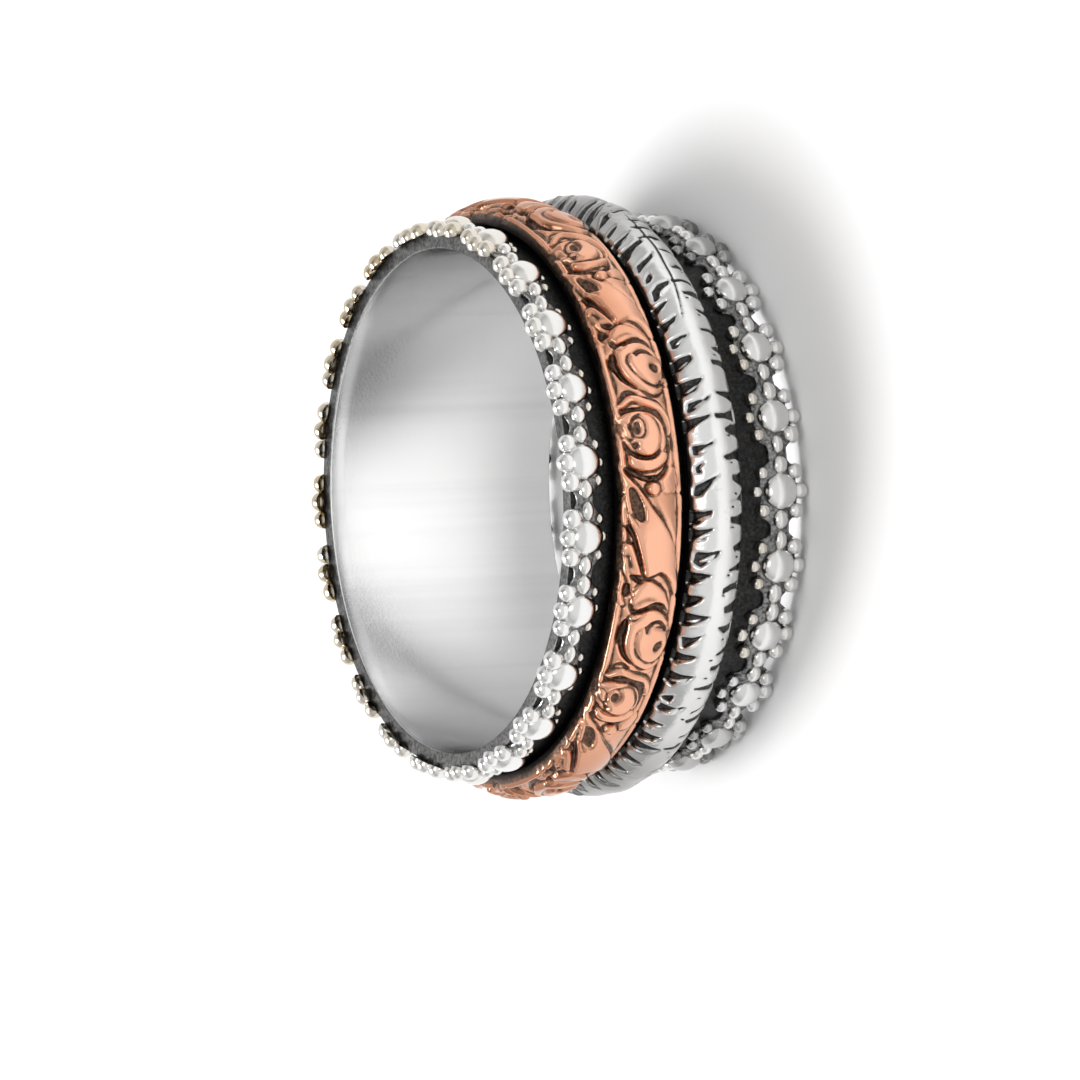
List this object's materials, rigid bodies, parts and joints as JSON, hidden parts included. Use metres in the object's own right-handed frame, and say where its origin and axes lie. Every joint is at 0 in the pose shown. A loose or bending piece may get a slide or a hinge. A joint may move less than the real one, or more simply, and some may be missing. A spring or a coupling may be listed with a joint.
{
  "type": "spinner ring",
  "caption": "Wide silver finger ring with granulated edges and loose bands between them: a rose-gold one with raised roses and leaves, and a silver one with hatched notches.",
  "frame": {"origin": "on the finger's axis, at the level of the surface that the ring lies on", "axes": "+Z along the finger hole, up from the surface; the rose band is the upper of the two loose bands"},
  "size_m": [0.0218, 0.0218, 0.01],
  "materials": {
    "silver": "polished silver with blackened recesses",
    "rose_gold": "polished rose gold with brown recesses",
    "hatched_silver": "polished silver with blackened notches"
  },
  "bodies": {
    "core": {"core_band": "silver"},
    "rose_ring": {"rose_spinner": "rose_gold"},
    "hatched_ring": {"hatched_spinner": "hatched_silver"}
  },
  "joints": [
    {"name": "rose_spin", "type": "hinge", "parent": "core", "child": "rose_ring", "pos_m": [0, 0, 0.007], "axis": [0, 0, 1], "continuous": true},
    {"name": "hatched_spin", "type": "hinge", "parent": "core", "child": "hatched_ring", "pos_m": [0, 0, 0.004], "axis": [0, 0, 1], "continuous": true}
  ]
}
